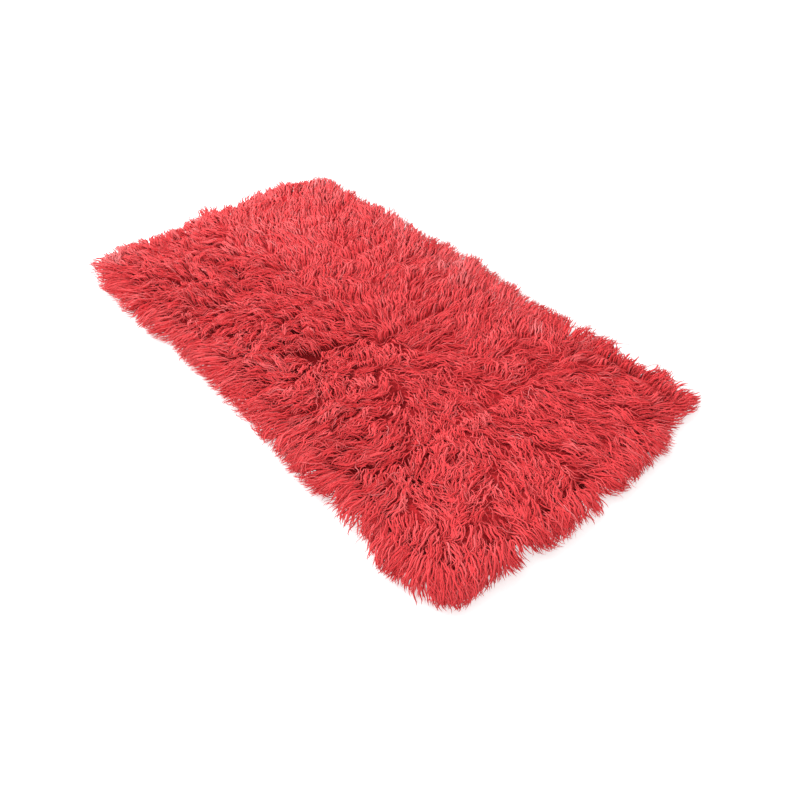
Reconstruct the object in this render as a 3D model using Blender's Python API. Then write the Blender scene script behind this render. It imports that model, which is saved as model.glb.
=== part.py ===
"""A long-pile wool rug lying flat on the floor.

The pile is one lumpy slab, because its locks stand closer than they are thick. It has the soft
troughs where the rug was folded, and around its rim the locks stand apart and droop to the floor.

Metres, +Z up. X runs across the rug and Y along it, and the origin is on the floor under its middle.
"""

import math
import random

import bmesh
import bpy
from mathutils import Vector, noise

# Overall size, out to the tips of the rim locks
HALF_WIDTH = 0.400
HALF_LENGTH = 0.750

# Pile
PILE_HEIGHT = 0.040
RIM_HEIGHT = 0.026
SHOULDER_WIDTH = 0.065
RIM_LUMP_SHARE = 0.25
LUMP_ROWS = (  # distance between lumps, their height
    (0.105, 0.0110),
    (0.060, 0.0060),
)

# Rim locks, rooted in the slab's wall
LOCK_REACH = 0.042
LOW_LOCK_HEIGHT = 0.012
CORNER_RADIUS = 0.062
CELLS_ACROSS = 24
CELLS_ALONG = 48
SHORTEST_LOCK = 0.66
LONGEST_LOCK = 1.06
LOCK_BEND = 0.0035
SEED = 7

# One row for each step of a lock: how far along it, its width and height as shares of the root's,
# and how high the low and the high locks lie there.
LOCK_STEPS = (
    dict(along=0.32, width=0.68, height=0.72, low=0.0, high=0.0065),
    dict(along=0.68, width=0.48, height=0.45, low=0.0, high=0.0),
    dict(along=1.00, width=0.18, height=0.20, low=0.0, high=0.0),
)

# Where the locks of each side end: place along the side, distance from the rug's middle line
LEFT_SIDE = (
    (-0.75, 0.398), (-0.59, 0.402), (-0.44, 0.388), (-0.30, 0.395), (-0.15, 0.389), (0.07, 0.387),
    (0.22, 0.383), (0.30, 0.399), (0.44, 0.402), (0.52, 0.410), (0.67, 0.404), (0.75, 0.402),
)
RIGHT_SIDE = (
    (-0.75, 0.392), (-0.59, 0.398), (-0.52, 0.405), (-0.44, 0.380), (-0.30, 0.364), (-0.22, 0.360),
    (-0.07, 0.376), (0.00, 0.388), (0.15, 0.391), (0.22, 0.372), (0.37, 0.392), (0.52, 0.373),
    (0.75, 0.388),
)
NEAR_SIDE = (
    (-0.40, 0.752), (-0.25, 0.746), (-0.06, 0.763), (0.00, 0.742), (0.06, 0.749), (0.19, 0.740),
    (0.32, 0.708), (0.40, 0.702),
)
FAR_SIDE = (
    (-0.40, 0.722), (-0.25, 0.728), (-0.19, 0.718), (-0.06, 0.731), (0.06, 0.732), (0.13, 0.715),
    (0.19, 0.752), (0.25, 0.742), (0.40, 0.720),
)

# Troughs where the rug was folded or the pile parts, and low ridges, which have a depth below zero
TROUGHS = (
    dict(start=(0.018, 0.490), end=(-0.010, 0.230), depth=0.007, half_width=0.040),
    dict(start=(-0.015, 0.190), end=(-0.017, -0.075), depth=0.012, half_width=0.042),
    dict(start=(-0.015, -0.080), end=(0.330, -0.080), depth=0.011, half_width=0.044),
    dict(start=(-0.340, -0.045), end=(-0.150, -0.030), depth=0.010, half_width=0.050),
    dict(start=(0.110, 0.265), end=(0.330, 0.275), depth=0.009, half_width=0.045),
    dict(start=(0.040, -0.395), end=(0.340, -0.405), depth=0.011, half_width=0.042),
    dict(start=(-0.225, -0.440), end=(-0.255, -0.600), depth=0.010, half_width=0.042),
    dict(start=(-0.110, 0.400), end=(-0.115, 0.300), depth=0.008, half_width=0.042),
    dict(start=(0.290, -0.480), end=(0.290, -0.640), depth=0.008, half_width=0.040),
    dict(start=(0.345, -0.480), end=(0.345, -0.640), depth=-0.006, half_width=0.036),
    dict(start=(-0.170, -0.160), end=(-0.060, -0.300), depth=-0.004, half_width=0.060),
)


def remove_all_objects():
    """Start from a scene with nothing in it."""
    for thing in list(bpy.data.objects):
        bpy.data.objects.remove(thing, do_unlink=True)


def wool_material():
    """Dyed wool: a matt red with no gloss of its own."""
    material = bpy.data.materials.new("red_wool_pile")
    material.use_nodes = True
    shader = material.node_tree.nodes["Principled BSDF"]
    shader.inputs["Base Color"].default_value = (0.617, 0.058, 0.064, 1.0)
    shader.inputs["Roughness"].default_value = 0.92
    shader.inputs["Metallic"].default_value = 0.0
    return material


def ease(share):
    """A share from 0 to 1, eased at both ends."""
    share = min(max(share, 0.0), 1.0)
    return share * share * (3.0 - 2.0 * share)


def tip_distance(side, along):
    """How far from the middle line the locks of a side end, between the rows of its table."""
    for (start, start_distance), (end, end_distance) in zip(side, side[1:]):
        if along <= end:
            share = ease((along - start) / (end - start))
            return start_distance + (end_distance - start_distance) * share
    return side[-1][1]


def half_sizes(u, v, inset):
    """Half width and half length of the rug at (u, v), drawn in from the lock tips by an inset."""
    across = tip_distance(RIGHT_SIDE if u > 0.0 else LEFT_SIDE, v * HALF_LENGTH)
    along = tip_distance(FAR_SIDE if v > 0.0 else NEAR_SIDE, u * HALF_WIDTH)
    return across - inset, along - inset


def plan_point(u, v, inset):
    """Where the point (u, v) of a square from -1 to 1 lies on the rug, with its corners rounded."""
    across, along = half_sizes(u, v, inset)
    x = abs(u) * across
    y = abs(v) * along
    past_x = x - (across - CORNER_RADIUS)
    past_y = y - (along - CORNER_RADIUS)
    if past_x > 0.0 and past_y > 0.0:
        double_square = 2.0 * CORNER_RADIUS ** 2
        x += past_x * (math.sqrt(1.0 - past_y ** 2 / double_square) - 1.0)
        y += past_y * (math.sqrt(1.0 - past_x ** 2 / double_square) - 1.0)
    return Vector((math.copysign(x, u), math.copysign(y, v), 0.0))


def trough_depth(point):
    """How much lower the pile lies at a point because of the folds and partings near it."""
    depth = 0.0
    for trough in TROUGHS:
        start = Vector(trough["start"])
        run = Vector(trough["end"]) - start
        share = min(max((point.xy - start).dot(run) / run.length_squared, 0.0), 1.0)
        distance = (point.xy - start - run * share).length
        depth += trough["depth"] * (1.0 - ease(distance / trough["half_width"]))
    return depth


def pile_top(u, v):
    """Height of the pile's top: a soft shoulder in from the rim, then lumps and troughs."""
    across, along = half_sizes(u, v, LOCK_REACH)
    from_rim = min((1.0 - abs(u)) * across, (1.0 - abs(v)) * along)
    shoulder = ease(from_rim / SHOULDER_WIDTH)
    point = plan_point(u, v, LOCK_REACH)
    relief = -trough_depth(point)
    for number, (spacing, height) in enumerate(LUMP_ROWS):
        relief += height * noise.noise(Vector((point.x / spacing, point.y / spacing, number)))
    return RIM_HEIGHT + (PILE_HEIGHT - RIM_HEIGHT) * shoulder + relief * max(shoulder, RIM_LUMP_SHARE)


def slab(bm):
    """The pile's slab. Returns a row for each face of its wall, with the face's u, v and level."""
    bmesh.ops.create_grid(bm, x_segments=CELLS_ACROSS, y_segments=CELLS_ALONG, size=1.0)
    rim = [edge for edge in bm.edges if edge.is_boundary]
    bmesh.ops.subdivide_edges(bm, edges=rim, cuts=1)

    # The wall has a lower and an upper row of faces, for the low and the high locks.
    for _ in range(2):
        rim = [edge for edge in bm.edges if edge.is_boundary]
        grown = bmesh.ops.extrude_edge_only(bm, edges=rim)["geom"]
        for vertex in (item for item in grown if isinstance(item, bmesh.types.BMVert)):
            vertex.co.z -= 1.0
    wall = []
    for face in bm.faces:
        middle = face.calc_center_median()
        if middle.z < 0.0:
            wall.append((face, middle.x, middle.y, "high" if middle.z > -1.0 else "low"))
    wall.sort(key=lambda row: (round(row[1], 4), round(row[2], 4), row[3]))
    bmesh.ops.holes_fill(bm, edges=[edge for edge in bm.edges if edge.is_boundary])

    for vertex in bm.verts:
        u, v, level = vertex.co
        vertex.co = plan_point(u, v, LOCK_REACH)
        if level > -0.5:
            vertex.co.z = pile_top(u, v)
        elif level > -1.5:
            vertex.co.z = LOW_LOCK_HEIGHT
    return wall


def lock_middles(root, out, rng):
    """Plan positions of a lock's steps: out from its root, with a slight bend to one side."""
    length = rng.uniform(SHORTEST_LOCK, LONGEST_LOCK)
    aside = Vector((-out.y, out.x, 0.0)).normalized() * rng.uniform(-LOCK_BEND, LOCK_BEND)
    for step in LOCK_STEPS:
        share = step["along"]
        yield root + out * length * share + aside * share * share


def grow_lock(bm, face, out, level, rng):
    """Draw a tapered lock out of a face of the wall, resting level where it reaches the floor."""
    middle = face.calc_center_median()
    across = Vector((-out.y, out.x, 0.0)).normalized()
    heights = [vertex.co.z for vertex in face.verts]
    sideways = [vertex.co.dot(across) for vertex in face.verts]
    root_height = max(heights) - min(heights)
    root_width = max(sideways) - min(sideways)

    previous = Vector((middle.x, middle.y, 0.0))
    places = list(lock_middles(previous, out, rng))
    for step, place in zip(LOCK_STEPS, places):
        ahead = (place - previous).normalized()
        aside = Vector((-ahead.y, ahead.x, 0.0))
        grown = bmesh.ops.extrude_discrete_faces(bm, faces=[face])["faces"][0]
        centre = grown.calc_center_median()
        half_width = 0.5 * root_width * step["width"]
        for vertex in grown.verts:
            from_centre = vertex.co - centre
            height = root_height * step["height"] if from_centre.z > 0.0 else 0.0
            vertex.co = place + aside * math.copysign(half_width, from_centre.dot(aside))
            vertex.co.z = step[level] + height
        face = grown
        previous = place


def rim_locks(bm, wall):
    """Low and high locks in turn all round the wall, fanned out towards the corners."""
    rng = random.Random(SEED)
    for face, u, v, level in wall:
        # A cell of the top is two faces of the wall wide, and u and v run over two units.
        on_long_side = abs(u) > abs(v)
        column = math.floor(v * CELLS_ALONG if on_long_side else u * CELLS_ACROSS)
        if (column % 2 == 0) == (level == "low"):
            out = plan_point(u, v, 0.0) - plan_point(u, v, LOCK_REACH)
            grow_lock(bm, face, out, level, rng)


def shag_rug():
    """The rug: one closed solid of pile with its locks."""
    mesh = bpy.data.meshes.new("shag_rug")
    rug = bpy.data.objects.new("shag_rug", mesh)
    bpy.context.scene.collection.objects.link(rug)
    bm = bmesh.new()
    rim_locks(bm, slab(bm))
    bmesh.ops.recalc_face_normals(bm, faces=bm.faces)
    bm.to_mesh(mesh)
    bm.free()
    mesh.materials.append(wool_material())
    return rug


remove_all_objects()
shag_rug()
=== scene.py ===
"""A long-pile wool rug lying flat on a pale floor.

The rug is a thin woven ground cloth with thousands of crimped locks of wool rooted in it. The pile
was combed outwards by hand and keeps the creases of the folds in which the rug was stored.
"""

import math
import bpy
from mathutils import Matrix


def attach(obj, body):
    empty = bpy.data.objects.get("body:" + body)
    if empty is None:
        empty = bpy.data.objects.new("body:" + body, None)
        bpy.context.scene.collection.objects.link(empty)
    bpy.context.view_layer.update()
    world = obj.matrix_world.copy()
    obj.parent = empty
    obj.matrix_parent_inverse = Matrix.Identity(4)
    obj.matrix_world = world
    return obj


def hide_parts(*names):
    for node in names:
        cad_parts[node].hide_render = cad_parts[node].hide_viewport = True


bl_info = {
    "name": "Shag Rug",
    "version": (1, 0, 0),
    "blender": (4, 5, 0),
    "location": "View3D > Sidebar > Shag Rug",
    "description": "Makes a long-pile wool rug: its ground cloth, locks and loose wisps",
    "category": "Add Mesh",
}

import bpy
import numpy as np
from bpy.props import FloatProperty, FloatVectorProperty, IntProperty, PointerProperty, StringProperty
from mathutils import Matrix, Vector
from mathutils.bvhtree import BVHTree

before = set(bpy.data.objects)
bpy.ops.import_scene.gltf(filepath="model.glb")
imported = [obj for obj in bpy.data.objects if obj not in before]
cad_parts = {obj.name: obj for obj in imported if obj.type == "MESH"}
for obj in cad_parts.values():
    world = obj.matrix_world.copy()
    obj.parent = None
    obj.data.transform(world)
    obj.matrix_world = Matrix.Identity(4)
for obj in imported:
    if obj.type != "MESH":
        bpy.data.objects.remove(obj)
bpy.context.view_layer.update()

RUG_NODE = "shag_rug"
RUG_BODY = "root"
BAKE_MAP = "OFBake"
MM = 0.001

# How the pile is combed. Each stroke lays it towards a heading in degrees, from +X towards +Y,
# and curl is how far the locks there hook and stray, from 0 to 1.
STROKES = (
    dict(x=-0.36, y=0.70, heading=112, curl=0.45),
    dict(x=-0.22, y=0.68, heading=98, curl=0.40),
    dict(x=-0.08, y=0.68, heading=86, curl=0.35),
    dict(x=0.06, y=0.66, heading=70, curl=0.30),
    dict(x=0.20, y=0.66, heading=57, curl=0.12),
    dict(x=0.35, y=0.66, heading=50, curl=0.12),
    dict(x=-0.37, y=0.54, heading=162, curl=0.50),
    dict(x=-0.24, y=0.52, heading=105, curl=0.55),
    dict(x=-0.10, y=0.54, heading=112, curl=0.45),
    dict(x=0.05, y=0.52, heading=88, curl=0.35),
    dict(x=0.18, y=0.50, heading=58, curl=0.10),
    dict(x=0.34, y=0.48, heading=48, curl=0.10),
    dict(x=-0.37, y=0.38, heading=184, curl=0.40),
    dict(x=-0.24, y=0.38, heading=150, curl=0.60),
    dict(x=-0.10, y=0.34, heading=120, curl=0.70),
    dict(x=0.07, y=0.34, heading=58, curl=0.30),
    dict(x=0.20, y=0.33, heading=55, curl=0.30),
    dict(x=0.35, y=0.33, heading=42, curl=0.25),
    dict(x=-0.37, y=0.22, heading=180, curl=0.60),
    dict(x=-0.22, y=0.20, heading=165, curl=0.75),
    dict(x=-0.08, y=0.18, heading=140, curl=0.65),
    dict(x=0.05, y=0.18, heading=55, curl=0.25),
    dict(x=0.20, y=0.17, heading=45, curl=0.35),
    dict(x=0.35, y=0.18, heading=24, curl=0.25),
    dict(x=-0.37, y=0.06, heading=184, curl=0.45),
    dict(x=-0.22, y=0.05, heading=176, curl=0.75),
    dict(x=-0.06, y=0.03, heading=128, curl=0.55),
    dict(x=0.02, y=0.02, heading=76, curl=0.15),
    dict(x=0.10, y=0.03, heading=45, curl=0.20),
    dict(x=0.22, y=0.02, heading=22, curl=0.25),
    dict(x=0.36, y=0.04, heading=16, curl=0.20),
    dict(x=-0.37, y=-0.12, heading=186, curl=0.70),
    dict(x=-0.22, y=-0.13, heading=190, curl=0.80),
    dict(x=-0.09, y=-0.14, heading=212, curl=0.80),
    dict(x=-0.03, y=-0.18, heading=240, curl=0.80),
    dict(x=0.03, y=-0.20, heading=300, curl=0.70),
    dict(x=0.07, y=-0.13, heading=20, curl=0.40),
    dict(x=0.20, y=-0.15, heading=32, curl=0.15),
    dict(x=0.36, y=-0.15, heading=12, curl=0.12),
    dict(x=-0.37, y=-0.30, heading=194, curl=0.50),
    dict(x=-0.20, y=-0.28, heading=200, curl=0.70),
    dict(x=-0.05, y=-0.30, heading=208, curl=0.70),
    dict(x=0.09, y=-0.28, heading=10, curl=0.65),
    dict(x=0.22, y=-0.28, heading=26, curl=0.35),
    dict(x=0.36, y=-0.28, heading=2, curl=0.15),
    dict(x=-0.37, y=-0.45, heading=186, curl=0.70),
    dict(x=-0.22, y=-0.44, heading=210, curl=0.75),
    dict(x=-0.08, y=-0.44, heading=238, curl=0.80),
    dict(x=0.08, y=-0.44, heading=285, curl=0.85),
    dict(x=0.22, y=-0.44, heading=330, curl=0.70),
    dict(x=0.37, y=-0.44, heading=10, curl=0.25),
    dict(x=-0.37, y=-0.58, heading=196, curl=0.30),
    dict(x=-0.24, y=-0.58, heading=232, curl=0.55),
    dict(x=-0.08, y=-0.58, heading=256, curl=0.70),
    dict(x=0.08, y=-0.58, heading=278, curl=0.70),
    dict(x=0.22, y=-0.58, heading=305, curl=0.65),
    dict(x=0.37, y=-0.58, heading=4, curl=0.20),
    dict(x=-0.36, y=-0.70, heading=226, curl=0.45),
    dict(x=-0.22, y=-0.70, heading=246, curl=0.45),
    dict(x=-0.07, y=-0.70, heading=262, curl=0.45),
    dict(x=0.08, y=-0.70, heading=268, curl=0.45),
    dict(x=0.22, y=-0.68, heading=284, curl=0.40),
    dict(x=0.36, y=-0.68, heading=338, curl=0.30),
)
STROKE_SPREAD = 0.062
RIM_BAND = 0.085
CORNER_RADIUS = 0.020
LOWEST = 1.4 * MM
HIGHEST = 55.0 * MM

# Lines along which the pile parts: push turns it away from the line, and depth is how far it
# sinks there, as a share of its height
PARTINGS = (
    dict(start=(0.018, 0.490), end=(-0.005, 0.230), push=0.25, depth=0.25, spread=0.014),
    dict(start=(-0.010, 0.190), end=(-0.018, -0.060), push=0.30, depth=0.38, spread=0.013),
    dict(start=(-0.010, -0.085), end=(0.200, -0.078), push=0.35, depth=0.40, spread=0.012),
    dict(start=(0.200, -0.078), end=(0.370, -0.085), push=0.25, depth=0.20, spread=0.012),
    dict(start=(-0.370, -0.055), end=(-0.130, -0.035), push=0.40, depth=0.35, spread=0.015),
    dict(start=(0.150, 0.262), end=(0.310, 0.274), push=0.20, depth=0.30, spread=0.015),
    dict(start=(0.040, -0.415), end=(0.310, -0.412), push=0.25, depth=0.28, spread=0.012),
    dict(start=(-0.300, -0.415), end=(0.040, -0.425), push=0.20, depth=0.20, spread=0.012),
    dict(start=(-0.215, -0.430), end=(-0.225, -0.490), push=0.50, depth=0.65, spread=0.015),
    dict(start=(-0.110, 0.425), end=(-0.130, 0.370), push=0.25, depth=0.70, spread=0.015),
    dict(start=(-0.080, 0.270), end=(-0.055, 0.180), push=0.40, depth=0.45, spread=0.014),
    dict(start=(-0.185, 0.010), end=(-0.160, -0.040), push=0.10, depth=0.70, spread=0.012),
    dict(start=(-0.110, -0.075), end=(-0.080, -0.120), push=0.40, depth=0.50, spread=0.013),
    dict(start=(-0.020, 0.340), end=(0.050, 0.320), push=0.40, depth=0.50, spread=0.013),
    dict(start=(0.345, -0.130), end=(0.345, -0.390), push=0.20, depth=0.30, spread=0.011),
    dict(start=(0.350, -0.420), end=(0.350, -0.660), push=0.22, depth=0.58, spread=0.018),
)

# Where the pile is looser: its tufts stand apart and shade the underwool between them
LOOSE_AREAS = (
    dict(x=-0.22, y=0.38, reach=(0.19, 0.30), amount=1.0),
    dict(x=-0.16, y=0.05, reach=(0.20, 0.22), amount=1.0),
    dict(x=-0.26, y=-0.30, reach=(0.14, 0.22), amount=0.7),
)

# Tufts at the rim that reach further out than their neighbours, or less far where below zero
RIM_TUFTS = (
    dict(x=-0.35, y=0.76, extra=0.042),
    dict(x=-0.21, y=0.76, extra=0.034),
    dict(x=-0.12, y=0.76, extra=0.028),
    dict(x=-0.06, y=0.77, extra=0.034),
    dict(x=0.03, y=0.75, extra=-0.030),
    dict(x=0.08, y=0.76, extra=0.026),
    dict(x=0.13, y=0.75, extra=-0.044),
    dict(x=0.19, y=0.77, extra=0.056),
    dict(x=0.32, y=0.76, extra=0.024),
    dict(x=0.40, y=0.74, extra=0.044),
    dict(x=0.38, y=0.57, extra=0.018),
    dict(x=0.38, y=0.44, extra=-0.010),
    dict(x=0.40, y=0.34, extra=0.020),
    dict(x=0.38, y=0.24, extra=-0.014),
    dict(x=0.38, y=0.08, extra=-0.020),
    dict(x=0.38, y=-0.19, extra=0.012),
    dict(x=0.38, y=-0.32, extra=0.018),
    dict(x=0.39, y=-0.47, extra=0.014),
    dict(x=0.40, y=-0.54, extra=0.040),
    dict(x=0.39, y=-0.65, extra=0.028),
    dict(x=-0.40, y=-0.66, extra=0.014),
    dict(x=-0.40, y=-0.76, extra=0.028),
    dict(x=-0.39, y=-0.44, extra=0.010),
    dict(x=-0.39, y=-0.10, extra=0.008),
    dict(x=-0.39, y=0.12, extra=0.012),
    dict(x=-0.39, y=0.42, extra=0.012),
    dict(x=-0.40, y=0.70, extra=0.020),
)
RIM_TUFT_SPREAD = 0.020

# Where the locks are painted paler: a painted highlight where the pile catches more light, with some faded wool at the
# far-left corner
PALE_TINT_AREAS = (
    dict(x=-0.37, y=0.70, reach=(0.12, 0.10), amount=0.52),
    dict(x=-0.10, y=0.74, reach=(0.30, 0.06), amount=0.18),
    dict(x=0.33, y=0.64, reach=(0.15, 0.14), amount=0.30),
    dict(x=0.35, y=0.02, reach=(0.12, 0.32), amount=0.30),
    dict(x=0.12, y=0.56, reach=(0.34, 0.26), amount=0.16),
    dict(x=-0.30, y=0.05, reach=(0.16, 0.50), amount=0.16),
)

# The map of the rug that the pile is laid by
CELL = 0.008
MAP_HALF_WIDTH = 0.46
MAP_HALF_LENGTH = 0.82
RIM_BIN = 0.03

# Pile. A lock's first steps are long, because they are hidden by the locks above.
LOCK_SIDES = 3
LOCK_STEPS = (1.4, 1.0, 1.0, 1.0, 1.0, 0.9, 0.8)
WISP_STEPS = (1.3, 1.0, 1.0, 1.0, 1.0, 0.9, 0.8)
STRIPS = 4
LOCKS_PER_STRIP = 4900
RIM_LOCK_SHARE = 0.27
WISPS_PER_HALF = 2000
TONES = 48
UNDERWOOL_CELLS = (96, 180)


def linear(colour):
    """An sRGB hex colour, such as "D24346", as linear RGBA."""
    channels = [int(colour[place:place + 2], 16) / 255.0 for place in (0, 2, 4)]
    return tuple(c / 12.92 if c <= 0.04045 else ((c + 0.055) / 1.055) ** 2.4 for c in channels) + (1.0,)


def add_node(tree, kind, inputs=None, **settings):
    """Add a node with its settings. An input is a value, or the socket that it is linked from."""
    node = tree.nodes.new(kind)
    for name, value in settings.items():
        setattr(node, name, value)
    for name, value in (inputs or {}).items():
        if isinstance(value, bpy.types.NodeSocket):
            tree.links.new(value, node.inputs[name])
        else:
            node.inputs[name].default_value = value
    return node


def new_material(name):
    """An empty node material with a Principled shader on its output."""
    material = bpy.data.materials.new(name)
    material.use_nodes = True
    tree = material.node_tree
    return material, tree, tree.nodes["Principled BSDF"]


def dyed_wool(name, settings):
    """Vat-dyed wool yarn, brushed out into locks: matt, softly glowing at its edges.

    Each lock takes one of a few dozen tones, because wool takes dye unevenly; the palest of them are painted highlight,
    with some faded wool. Shade is painted on it too: darker towards the root, and between the fibre streaks that run
    along it."""
    material, tree, shader = new_material(name)
    uv = add_node(tree, "ShaderNodeUVMap", uv_map=BAKE_MAP).outputs["UV"]
    parts = add_node(tree, "ShaderNodeSeparateXYZ", {0: uv})
    column = add_node(tree, "ShaderNodeMath", {0: parts.outputs["X"], 1: float(TONES)}, operation="MULTIPLY")
    whole = add_node(tree, "ShaderNodeMath", {0: column.outputs[0]}, operation="FLOOR")
    tone = add_node(tree, "ShaderNodeMath", {0: whole.outputs[0], 1: float(TONES - 1)}, operation="DIVIDE")
    dye_and_painted_light = add_node(tree, "ShaderNodeValToRGB", {0: tone.outputs[0]})
    ramp = dye_and_painted_light.color_ramp
    ramp.elements[0].color = linear(settings.deep_colour)
    # The palest end: painted highlight, with some faded wool, reached where the pale-tint map lifts the tone.
    ramp.elements[1].color = linear(settings.highlight_colour)
    ramp.elements.new(0.40).color = linear(settings.main_colour)
    ramp.elements.new(0.75).color = linear(settings.light_colour)

    # Each lock is a clump of finer strands, drawn as streaks that run along it and wander a little.
    wander = add_node(tree, "ShaderNodeTexNoise", {"Vector": uv, "Scale": 9.0, "Detail": 1.0})
    shifted = add_node(
        tree, "ShaderNodeMath", {0: wander.outputs["Fac"], 1: 0.35 / TONES, 2: parts.outputs["X"]},
        operation="MULTIPLY_ADD",
    )
    across = add_node(
        tree, "ShaderNodeMath", {0: shifted.outputs[0], 1: math.pi * TONES * LOCK_SIDES}, operation="MULTIPLY"
    )
    swing = add_node(tree, "ShaderNodeMath", {0: across.outputs[0]}, operation="SINE")
    strand = add_node(tree, "ShaderNodeMath", {0: swing.outputs[0]}, operation="ABSOLUTE")
    place = add_node(
        tree, "ShaderNodeVectorMath", {0: uv, 1: (TONES * 14.0, 5.0, 1.0)}, operation="MULTIPLY"
    )
    fibres = add_node(tree, "ShaderNodeTexNoise", {"Vector": place.outputs[0], "Scale": 1.0, "Detail": 2.0})
    streaks = add_node(
        tree, "ShaderNodeMath", {0: strand.outputs[0], 1: 0.65, 2: fibres.outputs["Fac"]},
        operation="MULTIPLY_ADD",
    )
    # Painted shade: the colour mixes towards the shade colour towards the root and in the gaps between the drawn
    # strands.
    root_shade = add_node(
        tree,
        "ShaderNodeMapRange",
        {"Value": parts.outputs["Y"], "From Min": 0.0, "From Max": 0.45, "To Min": 0.86, "To Max": 1.0},
        interpolation_type="SMOOTHSTEP",
    )
    streak_shade = add_node(
        tree,
        "ShaderNodeMapRange",
        {"Value": streaks.outputs[0], "From Min": 0.35, "From Max": 0.95, "To Min": 0.80, "To Max": 1.0},
    )
    shade = add_node(
        tree, "ShaderNodeMath", {0: root_shade.outputs[0], 1: streak_shade.outputs[0]}, operation="MULTIPLY"
    )
    shaded = add_node(
        tree,
        "ShaderNodeMix",
        {"Factor": shade.outputs[0], 6: linear(settings.shade_colour), 7: dye_and_painted_light.outputs["Color"]},
        data_type="RGBA",
    )
    rough = add_node(
        tree,
        "ShaderNodeMapRange",
        {"Value": fibres.outputs["Fac"], "From Min": 0.3, "From Max": 0.7, "To Min": 0.60, "To Max": 0.80},
    )
    bump = add_node(
        tree, "ShaderNodeBump", {"Strength": 0.5, "Distance": 1.0 * MM, "Height": streaks.outputs[0]}
    )
    tree.links.new(shaded.outputs[2], shader.inputs["Base Color"])
    tree.links.new(rough.outputs[0], shader.inputs["Roughness"])
    tree.links.new(bump.outputs[0], shader.inputs["Normal"])
    shader.inputs["Diffuse Roughness"].default_value = 1.0
    shader.inputs["IOR"].default_value = 1.45
    shader.inputs["Specular IOR Level"].default_value = 0.15
    shader.inputs["Sheen Weight"].default_value = settings.sheen
    shader.inputs["Sheen Roughness"].default_value = 0.45
    shader.inputs["Sheen Tint"].default_value = linear(settings.sheen_colour)
    return material


def felted_wool(name, settings):
    """The short dense wool between the locks: matt, with painted shade that darkens it the lower it lies, streaked by
    its fibres.
    """
    material, tree, shader = new_material(name)
    place = add_node(tree, "ShaderNodeTexCoord").outputs["Object"]
    clumps = add_node(tree, "ShaderNodeTexNoise", {"Vector": place, "Scale": 160.0, "Detail": 3.0})
    fibres = add_node(
        tree, "ShaderNodeTexNoise", {"Vector": place, "Scale": 420.0, "Detail": 2.0, "Distortion": 1.5}
    )
    mixed = add_node(
        tree,
        "ShaderNodeMath",
        {0: clumps.outputs["Fac"], 1: fibres.outputs["Fac"]},
        operation="MULTIPLY",
    )
    parts = add_node(tree, "ShaderNodeSeparateXYZ", {0: place})
    # Painted shade: the underwool is darker the lower it lies in the pile, down to the hollow shade colour.
    painted_depth_light = add_node(
        tree,
        "ShaderNodeMapRange",
        {"Value": parts.outputs["Z"], "From Min": 5.0 * MM, "From Max": 24.0 * MM, "To Min": 0.2, "To Max": 1.0},
    )
    clumps_and_painted_shade = add_node(tree, "ShaderNodeMath", {0: mixed.outputs[0], 1: painted_depth_light.outputs[0]}, operation="MULTIPLY")
    dye_and_painted_light = add_node(tree, "ShaderNodeValToRGB", {0: clumps_and_painted_shade.outputs[0]})
    dye_and_painted_light.color_ramp.elements[0].color = linear(settings.hollow_shade_colour)
    dye_and_painted_light.color_ramp.elements[0].position = 0.10
    dye_and_painted_light.color_ramp.elements[1].color = linear(settings.deep_colour)
    dye_and_painted_light.color_ramp.elements[1].position = 0.42
    bump = add_node(
        tree, "ShaderNodeBump", {"Strength": 1.0, "Distance": 2.0 * MM, "Height": mixed.outputs[0]}
    )
    tree.links.new(dye_and_painted_light.outputs["Color"], shader.inputs["Base Color"])
    tree.links.new(bump.outputs[0], shader.inputs["Normal"])
    shader.inputs["Roughness"].default_value = 0.9
    shader.inputs["Specular IOR Level"].default_value = 0.05
    return material


def woven_ground(name, settings):
    """Plain-woven woollen ground, dyed with the pile: a matt cloth with a visible over-and-under."""
    material, tree, shader = new_material(name)
    place = add_node(tree, "ShaderNodeTexCoord").outputs["Object"]
    per_metre = math.pi / (settings.yarn_spacing)
    scaled = add_node(
        tree, "ShaderNodeVectorMath", {0: place, 1: (per_metre, per_metre, 0.0)}, operation="MULTIPLY"
    )
    axes = add_node(tree, "ShaderNodeSeparateXYZ", {0: scaled.outputs[0]})
    warp = add_node(tree, "ShaderNodeMath", {0: axes.outputs["X"]}, operation="SINE")
    weft = add_node(tree, "ShaderNodeMath", {0: axes.outputs["Y"]}, operation="SINE")
    over = add_node(tree, "ShaderNodeMath", {0: warp.outputs[0], 1: weft.outputs[0]}, operation="MULTIPLY")
    height = add_node(tree, "ShaderNodeMath", {0: over.outputs[0]}, operation="ABSOLUTE")
    fuzz = add_node(tree, "ShaderNodeTexNoise", {"Vector": place, "Scale": 900.0, "Detail": 2.0})
    cloudy = add_node(tree, "ShaderNodeTexNoise", {"Vector": place, "Scale": 9.0, "Detail": 3.0})
    mixed = add_node(
        tree, "ShaderNodeMath", {0: fuzz.outputs["Fac"], 1: 0.35, 2: height.outputs[0]}, operation="MULTIPLY_ADD"
    )
    blend = add_node(
        tree, "ShaderNodeMath", {0: cloudy.outputs["Fac"], 1: mixed.outputs[0]}, operation="MULTIPLY"
    )
    dye_and_painted_light = add_node(tree, "ShaderNodeValToRGB", {0: blend.outputs[0]})
    dye_and_painted_light.color_ramp.elements[0].color = linear(settings.shadow_colour)
    dye_and_painted_light.color_ramp.elements[1].color = linear(settings.yarn_colour)
    dye_and_painted_light.color_ramp.elements[1].position = 0.6
    bump = add_node(
        tree, "ShaderNodeBump", {"Strength": 0.7, "Distance": 0.6 * MM, "Height": mixed.outputs[0]}
    )
    tree.links.new(dye_and_painted_light.outputs["Color"], shader.inputs["Base Color"])
    tree.links.new(bump.outputs[0], shader.inputs["Normal"])
    shader.inputs["Roughness"].default_value = 0.9
    shader.inputs["Sheen Weight"].default_value = 0.15
    return material


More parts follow.
